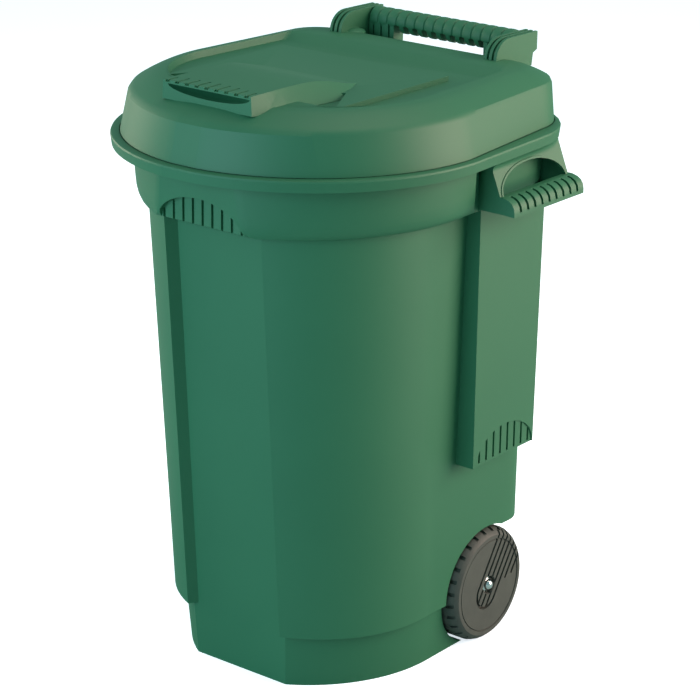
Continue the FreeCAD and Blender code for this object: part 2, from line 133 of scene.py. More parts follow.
def drawn_steel(name, colour, roughness):
    """Plated steel with fine drawing lines along X, which stretch its highlight a little."""
    material, tree, surface = new_material(name)
    place = add_node(tree, "ShaderNodeTexCoord").outputs["Object"]
    stretched = add_node(tree, "ShaderNodeMapping", Vector=place, Scale=(40.0, 900.0, 900.0))
    lines = add_node(tree, "ShaderNodeTexNoise", Vector=stretched.outputs["Vector"], Scale=1.0, Detail=3.0)
    gloss = add_node(tree, "ShaderNodeMapRange", Value=lines.outputs["Fac"],
                     To_Min=roughness - 0.06, To_Max=roughness + 0.08)
    bump = add_node(tree, "ShaderNodeBump", Height=lines.outputs["Fac"], Strength=0.1, Distance=0.05 * MM)
    shader = add_node(tree, "ShaderNodeBsdfPrincipled", Base_Color=linear(colour), Metallic=1.0,
                      Roughness=gloss.outputs["Result"], Normal=bump.outputs["Normal"])
    tree.links.new(shader.outputs["BSDF"], surface)
    return material


def pale_floor():
    """Matt paper: near white to the camera, and a dimmer, cool grey to everything else."""
    material, tree, surface = new_material("pale_paper_floor")
    seen = add_node(tree, "ShaderNodeLightPath").outputs["Is Camera Ray"]
    paper = add_node(tree, "ShaderNodeBsdfPrincipled", Base_Color=linear("#f3f8fc"), Roughness=0.9,
                     Emission_Color=linear("#eef6fd"), Emission_Strength=0.8)
    dim = add_node(tree, "ShaderNodeBsdfDiffuse", Color=linear("#9db8b8"))
    mixed = tree.nodes.new("ShaderNodeMixShader")
    tree.links.new(seen, mixed.inputs["Fac"])
    tree.links.new(dim.outputs["BSDF"], mixed.inputs[1])
    tree.links.new(paper.outputs["BSDF"], mixed.inputs[2])
    tree.links.new(mixed.outputs["Shader"], surface)
    return material


GREEN = satin_polypropylene()
WHEEL_GREY = moulded_wheel_plastic()
AXLE_STEEL = drawn_steel("drawn_zinc_steel", "#b9bcbc", 0.34)
CAP_STEEL = drawn_steel("bright_plated_steel", "#dfe6e5", 0.16)


# ---------------------------------------------------------------- mesh helpers

def placed(bm, name):
    """Object that holds the bmesh as it is, still in millimetres."""
    mesh = bpy.data.meshes.new(name)
    bm.to_mesh(mesh)
    bm.free()
    made = bpy.data.objects.new(name, mesh)
    bpy.context.scene.collection.objects.link(made)
    return made


def object_from(bm, name):
    """Object that holds the bmesh with its faces turned outwards."""
    bmesh.ops.recalc_face_normals(bm, faces=bm.faces)
    return placed(bm, name)


def vertices(geometry):
    """The vertices among what a bmesh operator has made."""
    return [g for g in geometry if isinstance(g, bmesh.types.BMVert)]


def block(x0, x1, y0, y1, z0, z1):
    """Box from its lowest to its highest corner."""
    bm = bmesh.new()
    bmesh.ops.create_cube(bm, size=1.0)
    bmesh.ops.scale(bm, vec=(x1 - x0, y1 - y0, z1 - z0), verts=bm.verts)
    bmesh.ops.translate(bm, vec=((x0 + x1) / 2, (y0 + y1) / 2, (z0 + z1) / 2), verts=bm.verts)
    return object_from(bm, "block")


def rod(radius, x0, x1, y, z, segments=64):
    """Cylinder along X."""
    bm = bmesh.new()
    bmesh.ops.create_cone(bm, cap_ends=True, segments=segments, radius1=radius, radius2=radius, depth=x1 - x0)
    bmesh.ops.rotate(bm, matrix=Matrix.Rotation(math.pi / 2, 3, "Y"), verts=bm.verts)
    bmesh.ops.translate(bm, vec=((x0 + x1) / 2, y, z), verts=bm.verts)
    return object_from(bm, "rod")


def ellipsoid(radii, centre, segments):
    """Ellipsoid with its axes along X, Y and Z."""
    bm = bmesh.new()
    bmesh.ops.create_uvsphere(bm, u_segments=segments, v_segments=segments // 2, radius=1.0)
    bmesh.ops.scale(bm, vec=radii, verts=bm.verts)
    bmesh.ops.translate(bm, vec=centre, verts=bm.verts)
    return object_from(bm, "ellipsoid")


def extruded(corners, shift, name):
    """Closed flat outline of corners, extruded by a shift."""
    bm = bmesh.new()
    face = bm.faces.new([bm.verts.new(corner) for corner in corners])
    made = bmesh.ops.extrude_face_region(bm, geom=[face])["geom"]
    bmesh.ops.translate(bm, vec=shift, verts=vertices(made))
    return object_from(bm, name)


def prism(outline, x0, x1):
    """Closed outline of (y, z) corners, extruded along X."""
    return extruded([(x0, y, z) for y, z in outline], (x1 - x0, 0, 0), "prism")


def slab(outline, y0, y1):
    """Closed outline of (x, z) corners, extruded along Y."""
    return extruded([(x, y0, z) for x, z in outline], (0, y1 - y0, 0), "slab")


def spun(profile, steps):
    """Bmesh of a profile of (x, radius) points, turned once about X."""
    bm = bmesh.new()
    line = [bm.verts.new((x, 0.0, r)) for x, r in profile]
    edges = [bm.edges.new(pair) for pair in zip(line, line[1:])]
    bmesh.ops.spin(bm, geom=line + edges, axis=(1, 0, 0), cent=(0, 0, 0), steps=steps, angle=2 * math.pi,
                   use_merge=True, use_duplicate=False)
    bmesh.ops.remove_doubles(bm, verts=bm.verts, dist=0.01)
    return bm


def apply_modifiers(part):
    """Puts what the part's modifiers give into its mesh."""
    bpy.context.view_layer.update()
    result = bpy.data.meshes.new_from_object(part.evaluated_get(bpy.context.evaluated_depsgraph_get()))
    part.modifiers.clear()
    part.data = result


def combine(target, others, operation):
    """UNION, DIFFERENCE or INTERSECT of the target with each of the others, which are used up."""
    for other in others:
        step = target.modifiers.new(operation, "BOOLEAN")
        step.operation = operation
        step.solver = "EXACT"
        step.object = other
        apply_modifiers(target)
        bpy.data.objects.remove(other)
    return target


def joined(objects, name):
    """One object from several whose shells may overlap."""
    bm = bmesh.new()
    for part in objects:
        bm.from_mesh(part.data)
        bpy.data.objects.remove(part)
    return placed(bm, name)


def both_sides(right):
    """A mirrored copy and the right-hand part itself, each with the name of its side."""
    bm = bmesh.new()
    bm.from_mesh(right.data)
    bmesh.ops.scale(bm, vec=(-1, 1, 1), verts=bm.verts)
    bmesh.ops.reverse_faces(bm, faces=bm.faces)
    return (("left", placed(bm, "mirrored")), ("right", right))


def finish_piece(part, name, body, nodes, material, radius, segments=3):
    """Rounds the edges, smooths the faces, gives the material and tells the frame what it stands for."""
    part.name = name
    part.data.name = name
    bm = bmesh.new()
    bm.from_mesh(part.data)
    bmesh.ops.remove_doubles(bm, verts=bm.verts, dist=0.02)
    bmesh.ops.scale(bm, vec=(MM, MM, MM), verts=bm.verts)
    bm.to_mesh(part.data)
    bm.free()
    part.data.shade_smooth()
    part.data.materials.clear()
    part.data.materials.append(material)
    rounding = part.modifiers.new("rounded_edges", "BEVEL")
    rounding.width = radius * MM
    rounding.segments = segments
    rounding.limit_method = "ANGLE"
    rounding.angle_limit = math.radians(EDGE_ANGLE)
    rounding.use_clamp_overlap = True
    rounding.harden_normals = True
    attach(part, body)
    if nodes:
        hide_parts(*nodes)
    return part


# ---------------------------------------------------------------- plan outlines

Section = namedtuple("Section", "level facet_half facet_y front_half front_y side_half side_y "
                                "rear_half rear_y corner bulge")

# points along half an outline: facet, flank of the ridge, front arc, side, rear corner, back
STATIONS = (8, 3, 28, 14, 10, 9)
HALF_RING = sum(STATIONS)


def section(level, front_half, front_y, side_half, side_y, rear_half, rear_y, corner, bulge=0.0, facet=None):
    """Plan section at a height.

    The bulge squares the front arc a little. The facet gives the half width and the y of a sunken front
    panel.
    """
    facet_half, facet_y = facet or (0.9 * front_half, front_y)
    return Section(level, facet_half, facet_y, front_half, front_y, side_half, side_y,
                   rear_half, rear_y, corner, bulge)


def inset(s, depth, level=None):
    """The same section moved inwards, and to another level if one is given."""
    sunken = s.facet_y > s.front_y
    return Section(
        s.level if level is None else level,
        s.facet_half + depth if sunken else s.facet_half - 0.4 * depth,
        s.facet_y + depth, s.front_half - 0.4 * depth, s.front_y + depth,
        s.side_half - depth, s.side_y, s.rear_half - depth, s.rear_y - depth, s.corner - depth, s.bulge)


def blended(a, b, share, level=None):
    """Section part of the way from a to b."""
    mixed = Section(*(p + (q - p) * share for p, q in zip(a, b)))
    return mixed if level is None else mixed._replace(level=level)


def outline_point(s, number):
    """Place of one numbered point of a section's outline."""
    side = 1.0 if number <= HALF_RING else -1.0
    step = number if number <= HALF_RING else 2 * HALF_RING - number
    part = 0
    while step > STATIONS[part]:
        step -= STATIONS[part]
        part += 1
    share = step / STATIONS[part]
    if part == 0:
        x, y = s.facet_half * share, s.facet_y
    elif part == 1:
        x = s.facet_half + (s.front_half - s.facet_half) * share
        y = s.facet_y + (s.front_y - s.facet_y) * share
    elif part == 2:
        wide, deep = s.side_half - s.front_half, s.side_y - s.front_y
        radius = (wide ** 2 + deep ** 2) / (2 * wide)
        turn = math.asin(deep / radius) if deep < radius else math.pi / 2
        turn *= 1.0 - share
        swollen = radius + s.bulge * math.sin(math.pi * share)
        x = s.side_half - radius + swollen * math.cos(turn)
        y = s.side_y - swollen * math.sin(turn)
    elif part == 3:
        x = s.side_half + (s.rear_half - s.side_half) * share
        y = s.side_y + (s.rear_y - s.corner - s.side_y) * share
    elif part == 4:
        turn = share * math.pi / 2
        x = s.rear_half - s.corner + s.corner * math.cos(turn)
        y = s.rear_y - s.corner + s.corner * math.sin(turn)
    else:
        x, y = (s.rear_half - s.corner) * (1.0 - share), s.rear_y
    return Vector((side * x, y, s.level))


def skin(sections, name, close_start=True, close_end=True):
    """Loft through the sections: a circle is put in place and extruded from each section to the next."""
    bm = bmesh.new()
    number = bm.verts.layers.int.new("number")
    ring = bmesh.ops.create_circle(bm, segments=2 * HALF_RING, radius=1.0)["verts"]
    for index, vert in enumerate(ring):
        vert[number] = index
        vert.co = outline_point(sections[0], index)
    edges = list(bm.edges)
    if close_start:
        bmesh.ops.contextual_create(bm, geom=edges)
    for s in sections[1:]:
        made = bmesh.ops.extrude_edge_only(bm, edges=edges)["geom"]
        fresh = set(vertices(made))
        edges = [g for g in made if isinstance(g, bmesh.types.BMEdge) and set(g.verts) <= fresh]
        for vert in fresh:
            vert.co = outline_point(s, vert[number])
    if close_end:
        bmesh.ops.contextual_create(bm, geom=edges)
    return object_from(bm, name)


# ---------------------------------------------------------------- tub

FACET_HALF = 71.0
COLLAR_BASE = 627.0
RIM_BASE = 697.0
PLINTH_TOP = 76.0


def facet_y(level):
    """The sunken front panel leans forward as it rises."""
    return -160.0 - 0.0638 * level


def sunken(level):
    """Half width and y of the sunken panel at a height."""
    return (FACET_HALF, facet_y(level))


FLOOR = section(0.0, 76.0, -160.0, 175.0, 15.0, 175.0, 208.0, 40.0)
PLINTH = section(PLINTH_TOP, 79.0, facet_y(PLINTH_TOP), 181.0, 8.0, 184.0, 210.0, 40.0)
BODY_LOW = section(PLINTH_TOP, 79.5, -176.6, 188.0, 5.0, 193.0, 214.0, 40.0, 6.0, sunken(PLINTH_TOP))
BODY_HIGH = section(COLLAR_BASE, 79.5, -215.4, 200.0, -20.0, 200.0, 214.0, 46.0, 6.0, sunken(COLLAR_BASE))
COLLAR_LOW = section(COLLAR_BASE, 81.0, -229.0, 217.0, 15.0, 214.0, 236.0, 90.0, 7.0)
COLLAR_HIGH = section(RIM_BASE, 60.0, -244.0, 232.0, 12.0, 226.0, 246.0, 100.0, 8.0)
RIM = section(RIM_TOP, 24.0, -280.0, 257.0, -18.0, 248.0, 268.0, 128.0)

# lower edge of the lid's skirt, which a groove in the rim follows
SKIRT_LOW = section(LID_BASE, 20.0, -267.5, 246.0, -15.0, 226.0, 258.0, 90.0)
PANEL_FACE = 220.5
PANEL_FRONT = 46.0
PANEL_BACK = 182.0
PANEL_BASE = 278.0
WELL_R = 84.5
WELL_IN = 151.0
STEP_TOP = 158.0
STEP_Y = 96.0
CHANNEL_R = 26.0
CHANNEL_X = 245.5
CHANNEL_Y = 41.0


def collar_levels(depth, base):
    """Collar with a softly rounded lower edge, moved inwards by depth."""
    levels = [inset(COLLAR_LOW, depth, base)]
    for rise, out in ((2.5, 0.35), (8.0, 0.65), (16.0, 0.85), (28.0, 0.96)):
        mixed = blended(COLLAR_LOW, COLLAR_HIGH, out * 0.8)
        levels.append(inset(mixed, depth, COLLAR_BASE + rise))
    levels.append(inset(COLLAR_HIGH, depth))
    return levels


def body_levels(low, high):
    """Levels up the tapered body, close enough for its twisted faces to stay smooth."""
    count = 14
    return [blended(low, high, index / count) for index in range(count + 1)]


def wheel_wells(grow):
    """Cutters for the step that houses the axle and for both wheel wells."""
    cutters = [block(-FAR, FAR, STEP_Y - grow, FAR, -20.0, STEP_TOP + grow)]
    cutters.append(rod(WELL_R + grow, WELL_IN - grow, FAR, AXLE_Y, AXLE_Z, 96))
    cutters.append(rod(WELL_R + grow, -FAR, grow - WELL_IN, AXLE_Y, AXLE_Z, 96))
    return cutters


def side_panels(grow):
    """The two box bulges under the side handles."""
    top = COLLAR_BASE + 8.0
    profile = [(PANEL_FRONT - grow, PANEL_BASE - grow), (PANEL_BACK + grow, PANEL_BASE - grow),
               (PANEL_BACK + 7.0 + grow, top), (PANEL_FRONT - grow, top)]
    panels = []
    for side in (1.0, -1.0):
        near, far = sorted((side * 150.0, side * (PANEL_FACE + grow)))
        panels.append(prism(profile, near, far))
    return panels


COLLAR_ARCH = (68.0, 38.0, 9)       # half width, rise and number of slots
SIDE_ARCH = (64.0, 44.0, 8)
SIDE_MIDDLE = (PANEL_FRONT + PANEL_BACK) / 2 + 3.0
COLLAR_FIELD = -231.6               # upright face of the collar's grip
SIDE_FIELD = PANEL_FACE - 1.8       # and of the side panels' grips
SLOT_HALF = 2.0


def arch_outline(middle, foot, arch, grow=0.0):
    """Half ellipse as (across, z) corners, with its straight foot sunk below the edge."""
    half, rise = arch[0] + grow, arch[1] + grow
    steps = 28
    outline = [(middle + half, foot - 10.0), (middle - half, foot - 10.0)]
    for index in range(steps + 1):
        turn = math.pi * index / steps
        outline.append((middle - half * math.cos(turn), foot + rise * math.sin(turn)))
    return outline


def grip_fields(grow):
    """Arched recesses at the foot of the collar and of both side panels.

    With grow they are larger, to keep a wall behind them when the tub is hollowed.
    """
    front = slab(arch_outline(0.0, COLLAR_BASE, COLLAR_ARCH, grow), -FAR, COLLAR_FIELD + 1.8 * grow)
    outline = arch_outline(SIDE_MIDDLE, PANEL_BASE, SIDE_ARCH, grow)
    near = SIDE_FIELD - 1.6 * grow
    return [front, prism(outline, near, FAR), prism(outline, -FAR, -near)]


def grip_slots():
    """The narrow slots in those recesses."""
    half, rise, count = COLLAR_ARCH
    made = []
    for index in range(count):
        x = (index - (count - 1) / 2) * RIB_PITCH
        top = COLLAR_BASE + rise * math.sqrt(1.0 - (x / half) ** 2) - 1.0
        made.append(block(x - SLOT_HALF, x + SLOT_HALF, -FAR, COLLAR_FIELD + 3.4, COLLAR_BASE - 10.0, top))
    half, rise, count = SIDE_ARCH
    for index in range(count):
        y = SIDE_MIDDLE + (index - (count - 1) / 2) * RIB_PITCH
        top = PANEL_BASE + rise * math.sqrt(1.0 - ((y - SIDE_MIDDLE) / half) ** 2) - 1.0
        for near, far in ((SIDE_FIELD - 3.0, FAR), (-FAR, 3.0 - SIDE_FIELD)):
            made.append(block(near, far, y - SLOT_HALF, y + SLOT_HALF, PANEL_BASE + 3.0, top))
    return made


def handle_channels(grow):
    """Upright hollows in the collar, just in front of both side handles."""
    channels = []
    for side in (1.0, -1.0):
        radius = CHANNEL_R + grow
        bm = bmesh.new()
        bmesh.ops.create_cone(bm, cap_ends=True, segments=96, radius1=radius, radius2=radius, depth=90.0)
        bmesh.ops.translate(bm, vec=(side * CHANNEL_X, CHANNEL_Y, RIM_BASE - 45.0), verts=bm.verts)
        near, far = sorted((side * 200.0, side * 300.0))
        front_half = block(near, far, -50.0, CHANNEL_Y + grow, 600.0, 720.0)
        channels.append(combine(object_from(bm, "channel"), [front_half], "INTERSECT"))
    return channels


def ribs_and_lugs():
    """Plates under the rim that carry the rear posts, and the lugs that hold the axle."""
    rib = [(244.5, RIM_BASE + 12.5), (265.5, RIM_BASE + 12.5),
           (264.0, RIM_BASE - 12.0), (239.5, RIM_BASE - 60.0)]
    lug = [(STEP_Y - 1.0, 52.0), (AXLE_Y - 4.0, 56.0), (AXLE_Y + 15.0, 70.0), (AXLE_Y + 15.0, 96.0),
           (AXLE_Y + 40.0, STEP_TOP + 1.0), (STEP_Y - 1.0, STEP_TOP + 1.0)]
    near, far = POST_IN + 2.0, POST_OUT - 2.0
    plates = [prism(rib, x - 2.0, x + 2.0) for x in (near, far, -near, -far)]
    plates += [prism(lug, x - 6.0, x + 6.0) for x in (-136.0, -46.0, 46.0, 136.0)]
    return plates


def make_tub():
    """Plinth, tapered body with a sunken front panel, side panels, collar and hollow rolled rim."""
    lip = RIM_TOP - WALL
    outside = [FLOOR, PLINTH] + body_levels(BODY_LOW, BODY_HIGH) + collar_levels(0.0, COLLAR_BASE)
    outside += [
        COLLAR_HIGH._replace(level=lip),
        inset(RIM, WALL, lip),
        inset(RIM, WALL + 1.5, RIM_BASE),
        inset(RIM, 1.5, RIM_BASE),
        inset(RIM, 0.0, RIM_TOP - 3.0),
        inset(RIM, 0.9, RIM_TOP - 0.9),
        inset(RIM, 3.0, RIM_TOP),
        inset(SKIRT_LOW, -1.4, RIM_TOP),
        inset(SKIRT_LOW, -1.0, RIM_TOP - 2.6),
    ]
    tub = skin(outside, "tub_shell")
    combine(tub, side_panels(0.0), "UNION")
    combine(tub, wheel_wells(0.0) + handle_channels(0.0), "DIFFERENCE")
    inside = [inset(FLOOR, WALL, WALL), inset(PLINTH, WALL)]
    inside += body_levels(inset(BODY_LOW, WALL, PLINTH_TOP + 1.0),
                          inset(BODY_HIGH, WALL, COLLAR_BASE + WALL - 0.5))
    inside += collar_levels(WALL, COLLAR_BASE + WALL)
    inside.append(inset(COLLAR_HIGH, WALL, RIM_TOP + 5.0))
    hollow = skin(inside, "tub_hollow")
    combine(hollow, side_panels(-WALL), "UNION")
    combine(hollow, wheel_wells(WALL) + handle_channels(WALL) + grip_fields(WALL), "DIFFERENCE")
    combine(tub, [hollow], "DIFFERENCE")
    combine(tub, ribs_and_lugs(), "UNION")
    combine(tub, [rod(BORE_R, -160.0, 160.0, AXLE_Y, AXLE_Z)] + grip_fields(0.0) + grip_slots(), "DIFFERENCE")
    return finish_piece(tub, "tub_shell", "tub", ["tub"], GREEN, 1.5)


# ---------------------------------------------------------------- lid

SKIRT_HIGH = section(761.0, 20.0, -256.0, 236.5, -15.0, 220.5, 254.5, 85.0)
SHOULDER = section(766.0, 20.0, -250.0, 233.5, -15.0, 218.0, 252.0, 82.0)
CROWN = section(783.0, 20.0, -205.0, 197.0, -15.0, 184.0, 204.0, 40.0)
TRAY = section(784.0, 125.0, -152.0, 187.0, -30.0, 177.0, 150.0, 7.0)
TRAY_FOOT = section(775.5, 123.0, -149.0, 184.0, -30.0, 174.0, 133.0, 7.0)
PLATEAU_HALF = 137.0
PLATEAU_LOW = 773.5
PLATEAU_TOP = 781.8
TONGUE_FOOT = 776.0
TONGUE_TOP = 800.0
TONGUE_FRONT = -223.5
SCOOP_TOP = 796.0
NOTCH_FRONT = 242.0
POST_GAP = 3.0              # between a notch and the post's inner side


def make_tongue():
    """Lifting tongue: upright in front, with its top sinking into the plateau behind."""
    # each row holds y, the height of the top, and the half widths at the top and at the foot
    rows = ((TONGUE_FRONT, TONGUE_TOP, 70.5, 72.0), (-200.0, TONGUE_TOP, 70.3, 80.0),
            (-170.0, TONGUE_TOP, 70.0, 88.0), (-140.0, TONGUE_TOP, 70.5, 93.0),
            (-115.0, 799.4, 72.0, 96.0), (-98.0, 798.0, 74.0, 98.0),
            (-84.0, 795.6, 76.5, 98.5), (-70.0, 792.2, 79.0, 97.5), (-56.0, 788.6, 80.0, 94.5),
            (-42.0, 785.3, 78.5, 89.0), (-28.0, 782.6, 75.0, 81.0), (-16.0, 780.0, 72.0, 74.0))
    bm = bmesh.new()
    grid = []
    for y, top, crest, foot in rows:
        corners = ((-foot, y, TONGUE_FOOT), (-crest, y, top), (crest, y, top), (foot, y, TONGUE_FOOT))
        grid.append([bm.verts.new(corner) for corner in corners])
    for near, far in zip(grid, grid[1:]):
        for k in range(4):
            bm.faces.new((near[k], near[(k + 1) % 4], far[(k + 1) % 4], far[k]))
    bm.faces.new(grid[0])
    bm.faces.new(grid[-1])
    tongue = object_from(bm, "tongue")
    scoop = ellipsoid((66.0, 26.0, 11.0), (3.0, TONGUE_FRONT - 2.0, SCOOP_TOP), 64)
    cut = [combine(scoop, [block(-FAR, FAR, -300.0, 0.0, 700.0, SCOOP_TOP)], "INTERSECT")]
    for index in range(-4, 5):
        x = index * RIB_PITCH
        reach = 27.0 - 0.0019 * x * x
        cut.append(block(x - 1.5, x + 1.5, TONGUE_FRONT - 1.0, TONGUE_FRONT + reach, TONGUE_TOP - 2.4, 820.0))
        cut.append(block(x - 3.3, x + 3.3, TONGUE_FRONT - 1.0, TONGUE_FRONT + 2.8, TONGUE_TOP - 2.5, 820.0))
    return combine(tongue, cut, "DIFFERENCE")


def make_plateau():
    """Flat raised middle of the tray, with a three-cornered pocket at each of its front corners."""
    plateau = block(-PLATEAU_HALF, PLATEAU_HALF, -150.5, 84.0, PLATEAU_LOW, PLATEAU_TOP)
    outline = ((80.0, -149.0), (PLATEAU_HALF + 1.0, -149.0), (96.0, -73.0), (80.0, -90.0))
    pockets = []
    for side in (1.0, -1.0):
        corners = [(side * x, y, TRAY_FOOT.level) for x, y in outline]
        pockets.append(extruded(corners, (0, 0, 20.0), "pocket"))
    return combine(plateau, pockets, "DIFFERENCE")


def make_lid():
    """Domed lid: upright skirt, crisp shoulder, sunken tray, tongue and notches for the rear posts."""
    sections = [SKIRT_LOW, SKIRT_HIGH, SHOULDER]
    steps = 8
    for index in range(1, steps + 1):
        share = index / steps
        rise = (CROWN.level - SHOULDER.level) * (1.0 - (1.0 - share) ** 1.35)
        sections.append(blended(SHOULDER, CROWN, share, SHOULDER.level + rise))
    sections += [TRAY, TRAY_FOOT]
    solid = skin(sections, "lid_solid")
    lid = skin(sections, "lid_shell", close_start=False)
    thick = lid.modifiers.new("wall", "SOLIDIFY")
    thick.thickness = LID_WALL
    thick.offset = -1.0
    thick.use_even_offset = True
    apply_modifiers(lid)
    combine(lid, [make_plateau(), make_tongue()], "UNION")
    walls = []
    notches = []
    for side in (1.0, -1.0):
        near, far = sorted((side * (POST_IN - POST_GAP - LID_WALL), side * (ARM_IN + LID_WALL)))
        walls.append(block(near, far, NOTCH_FRONT - LID_WALL, FAR, LID_BASE, 810.0))
        near, far = sorted((side * (POST_IN - POST_GAP), side * ARM_IN))
        notches.append(block(near, far, NOTCH_FRONT, FAR, 600.0, 830.0))
    walls = combine(joined(walls, "walls"), [solid], "INTERSECT")
    combine(lid, [walls], "UNION")
    combine(lid, notches, "DIFFERENCE")
    return finish_piece(lid, "lid_shell", "lid", ["lid"], GREEN, 1.3)


# ---------------------------------------------------------------- hinge arms and rear handle

ARM_IN, ARM_OUT = 118.8, 138.6
BAR_R = 16.5
BAR_Y = BAR_HIGH.y - BAR_R
BAR_Z = BAR_HIGH.z - BAR_R
POST_IN, POST_OUT = 75.0, 117.5


def arm_profile(shrink):
    """Side view of a hinge arm as (y, z) corners; shrink sinks the bottom of its grooves."""
    crown = 809.5 - shrink
    profile = [(268.0, 764.0), (240.0, 764.0), (186.0 + shrink, 775.0)]
    nose_y, nose_z, reach_y, reach_z = 216.0, 784.0, 30.0 - shrink, crown - 784.0
    for index in range(9):
        turn = index / 8 * math.pi / 2
        profile.append((nose_y - reach_y * math.cos(turn), nose_z + reach_z * math.sin(turn)))
    profile += [(250.0, crown - 0.4)]
    profile += [(279.5, crown - 1.0), (279.5, 784.0), (270.5, 780.5)]
    return profile


def make_arm():
    """Right hinge arm: three flanges and two deep grooves that run over its nose and crown."""
    flange, groove = 4.4, 3.3
    layers = []
    x = ARM_IN
    for width, shrink in ((flange, 0.0), (groove, 4.0), (flange, 0.0), (groove, 4.0), (flange, 0.0)):
        layers.append(prism(arm_profile(shrink), x, x + width))
        x += width
    arm = layers[0]
    combine(arm, layers[1:], "UNION")
    return arm


def make_foot_boss():
    """Low rounded boss that the inner side of an arm runs into."""
    return ellipsoid((15.0, 17.0, 6.5), (ARM_IN - 1.0, 214.0, 779.5), 32)


def make_bar():
    """Push bar: barrel-shaped rings above the parting line, teeth and gaps below it."""
    count = 15
    pitch = 2 * POST_OUT / count
    start = -POST_OUT
    # along one barrel: share of its length, and how far it lies below the full radius
    barrel = ((0.03, 2.0), (0.10, 0.5), (0.3, 0.1), (0.5, 0.0), (0.7, 0.1), (0.90, 0.5), (0.97, 2.0))
    profile = [(start, 0.0)]
    for index in range(count):
        x = start + index * pitch
        for share, drop in barrel:
            profile.append((x + share * pitch, BAR_R - drop))
    profile.append((POST_OUT, 0.0))
    bm = spun(profile, 56)
    cut = bmesh.ops.bisect_plane(bm, geom=bm.verts[:] + bm.edges[:] + bm.faces[:], plane_co=(0, 0, -3.0),
                                 plane_no=(0, 0, -1), clear_outer=True)["geom_cut"]
    bmesh.ops.holes_fill(bm, edges=[g for g in cut if isinstance(g, bmesh.types.BMEdge)])
    bmesh.ops.translate(bm, vec=(0, BAR_Y, BAR_Z), verts=bm.verts)
    parts = [object_from(bm, "barrels"), rod(8.0, -POST_OUT, POST_OUT, BAR_Y, BAR_Z)]
    for index in range(count):
        x = start + (index + 0.5) * pitch
        tooth = rod(BAR_R - 0.8, x - 3.6, x + 3.6, BAR_Y, BAR_Z, 40)
        parts.append(combine(tooth, [block(-FAR, FAR, 0.0, FAR, 700.0, BAR_Z - 2.0)], "INTERSECT"))
    return parts


def make_rear_handle():
    """Two grooved posts, the push bar and the journals that the lid's arms hold."""
    parts = make_bar()
    front, back, base = BAR_LOW.y + 1.5, 268.0, RIM_TOP - 1.0
    for side in (1.0, -1.0):
        near, far = sorted((side * POST_IN, side * POST_OUT))
        post = block(near, far, front, back, base, BAR_Z)
        cut = [block(near + 4.0, far - 4.0, front + 4.5, back + 1.0, base + 2.0, BAR_Z - 26.0)]
        for index in range(3):
            x = near + 8.0 + index * 13.2
            cut.append(block(x - 1.6, x + 1.6, front - 1.0, front + 3.0, base + 10.0, BAR_Z - 1.0))
        parts.append(combine(post, cut, "DIFFERENCE"))
        near, far = sorted((side * (POST_OUT - 1.0), side * (ARM_OUT - 3.3)))
        parts.append(rod(9.0, near, far, BAR_Y, BAR_Z))
    return joined(parts, "rear_handle_moulding")


# ---------------------------------------------------------------- side handles

PLATE_TOP = 235.0
PLATE_FOOT = 252.5
PLATE_BACK = 192.0
WINDOW_HALF = 69.0
WINDOW_RISE = 31.0
HANDLE_LOW, HANDLE_HIGH = (1000.0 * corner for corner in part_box("side_handle_right"))
HANDLE_SILL = HANDLE_LOW.z + 23.0
PLATE_MIDDLE = (HANDLE_LOW.y + PLATE_BACK) / 2


def rim_edge(y):
    """Half width of the rim's lower edge at a place along the side."""
    straight = RIM.rear_y - RIM.corner
    if y < straight:
        share = (y - RIM.side_y) / (straight - RIM.side_y)
        return RIM.side_half + (RIM.rear_half - RIM.side_half) * share - 1.8
    return RIM.rear_half - RIM.corner + math.sqrt(RIM.corner ** 2 - (y - straight) ** 2) - 1.8


def plate_face(y, z):
    """Outer face of a handle's plate: slopes outwards to the bar and flows up into the rim's edge."""
    top, blend = HANDLE_HIGH.z, 15.0
    slope = PLATE_TOP + (PLATE_FOOT - PLATE_TOP) * (top - z) / (top - HANDLE_SILL)
    rise = max(0.0, (z - top + blend) / blend)
    return slope + max(0.0, rim_edge(y) - slope) * rise ** 2


def window_arch(grow):
    """Half-round outline of a handle's window as (y, z) corners, made larger by grow."""
    steps = 32
    outline = []
    for index in range(steps + 1):
        turn = math.pi * index / steps
        outline.append((PLATE_MIDDLE - (WINDOW_HALF + grow) * math.cos(turn),
                        HANDLE_SILL + (WINDOW_RISE + grow) * math.sin(turn)))
    return outline


def bent_plate(outline, lift, depth):
    """Sheet cut to an outline of (y, z) corners and bent to the plate's face, lift outside it."""
    bm = bmesh.new()
    bmesh.ops.create_grid(bm, x_segments=44, y_segments=24, size=1.0)
    for vert in bm.verts:
        y = HANDLE_LOW.y + (PLATE_BACK - HANDLE_LOW.y) * (vert.co.x + 1.0) / 2
        z = HANDLE_SILL - 8.0 + (HANDLE_HIGH.z + 8.0 - HANDLE_SILL) * (vert.co.y + 1.0) / 2
        vert.co = Vector((plate_face(y, z) + lift, y, z))
    made = bmesh.ops.extrude_face_region(bm, geom=bm.faces[:])["geom"]
    bmesh.ops.translate(bm, vec=(-depth, 0, 0), verts=vertices(made))
    sheet = object_from(bm, "bent_plate")
    if outline:
        combine(sheet, [prism(outline, 200.0, 300.0)], "INTERSECT")
    return sheet


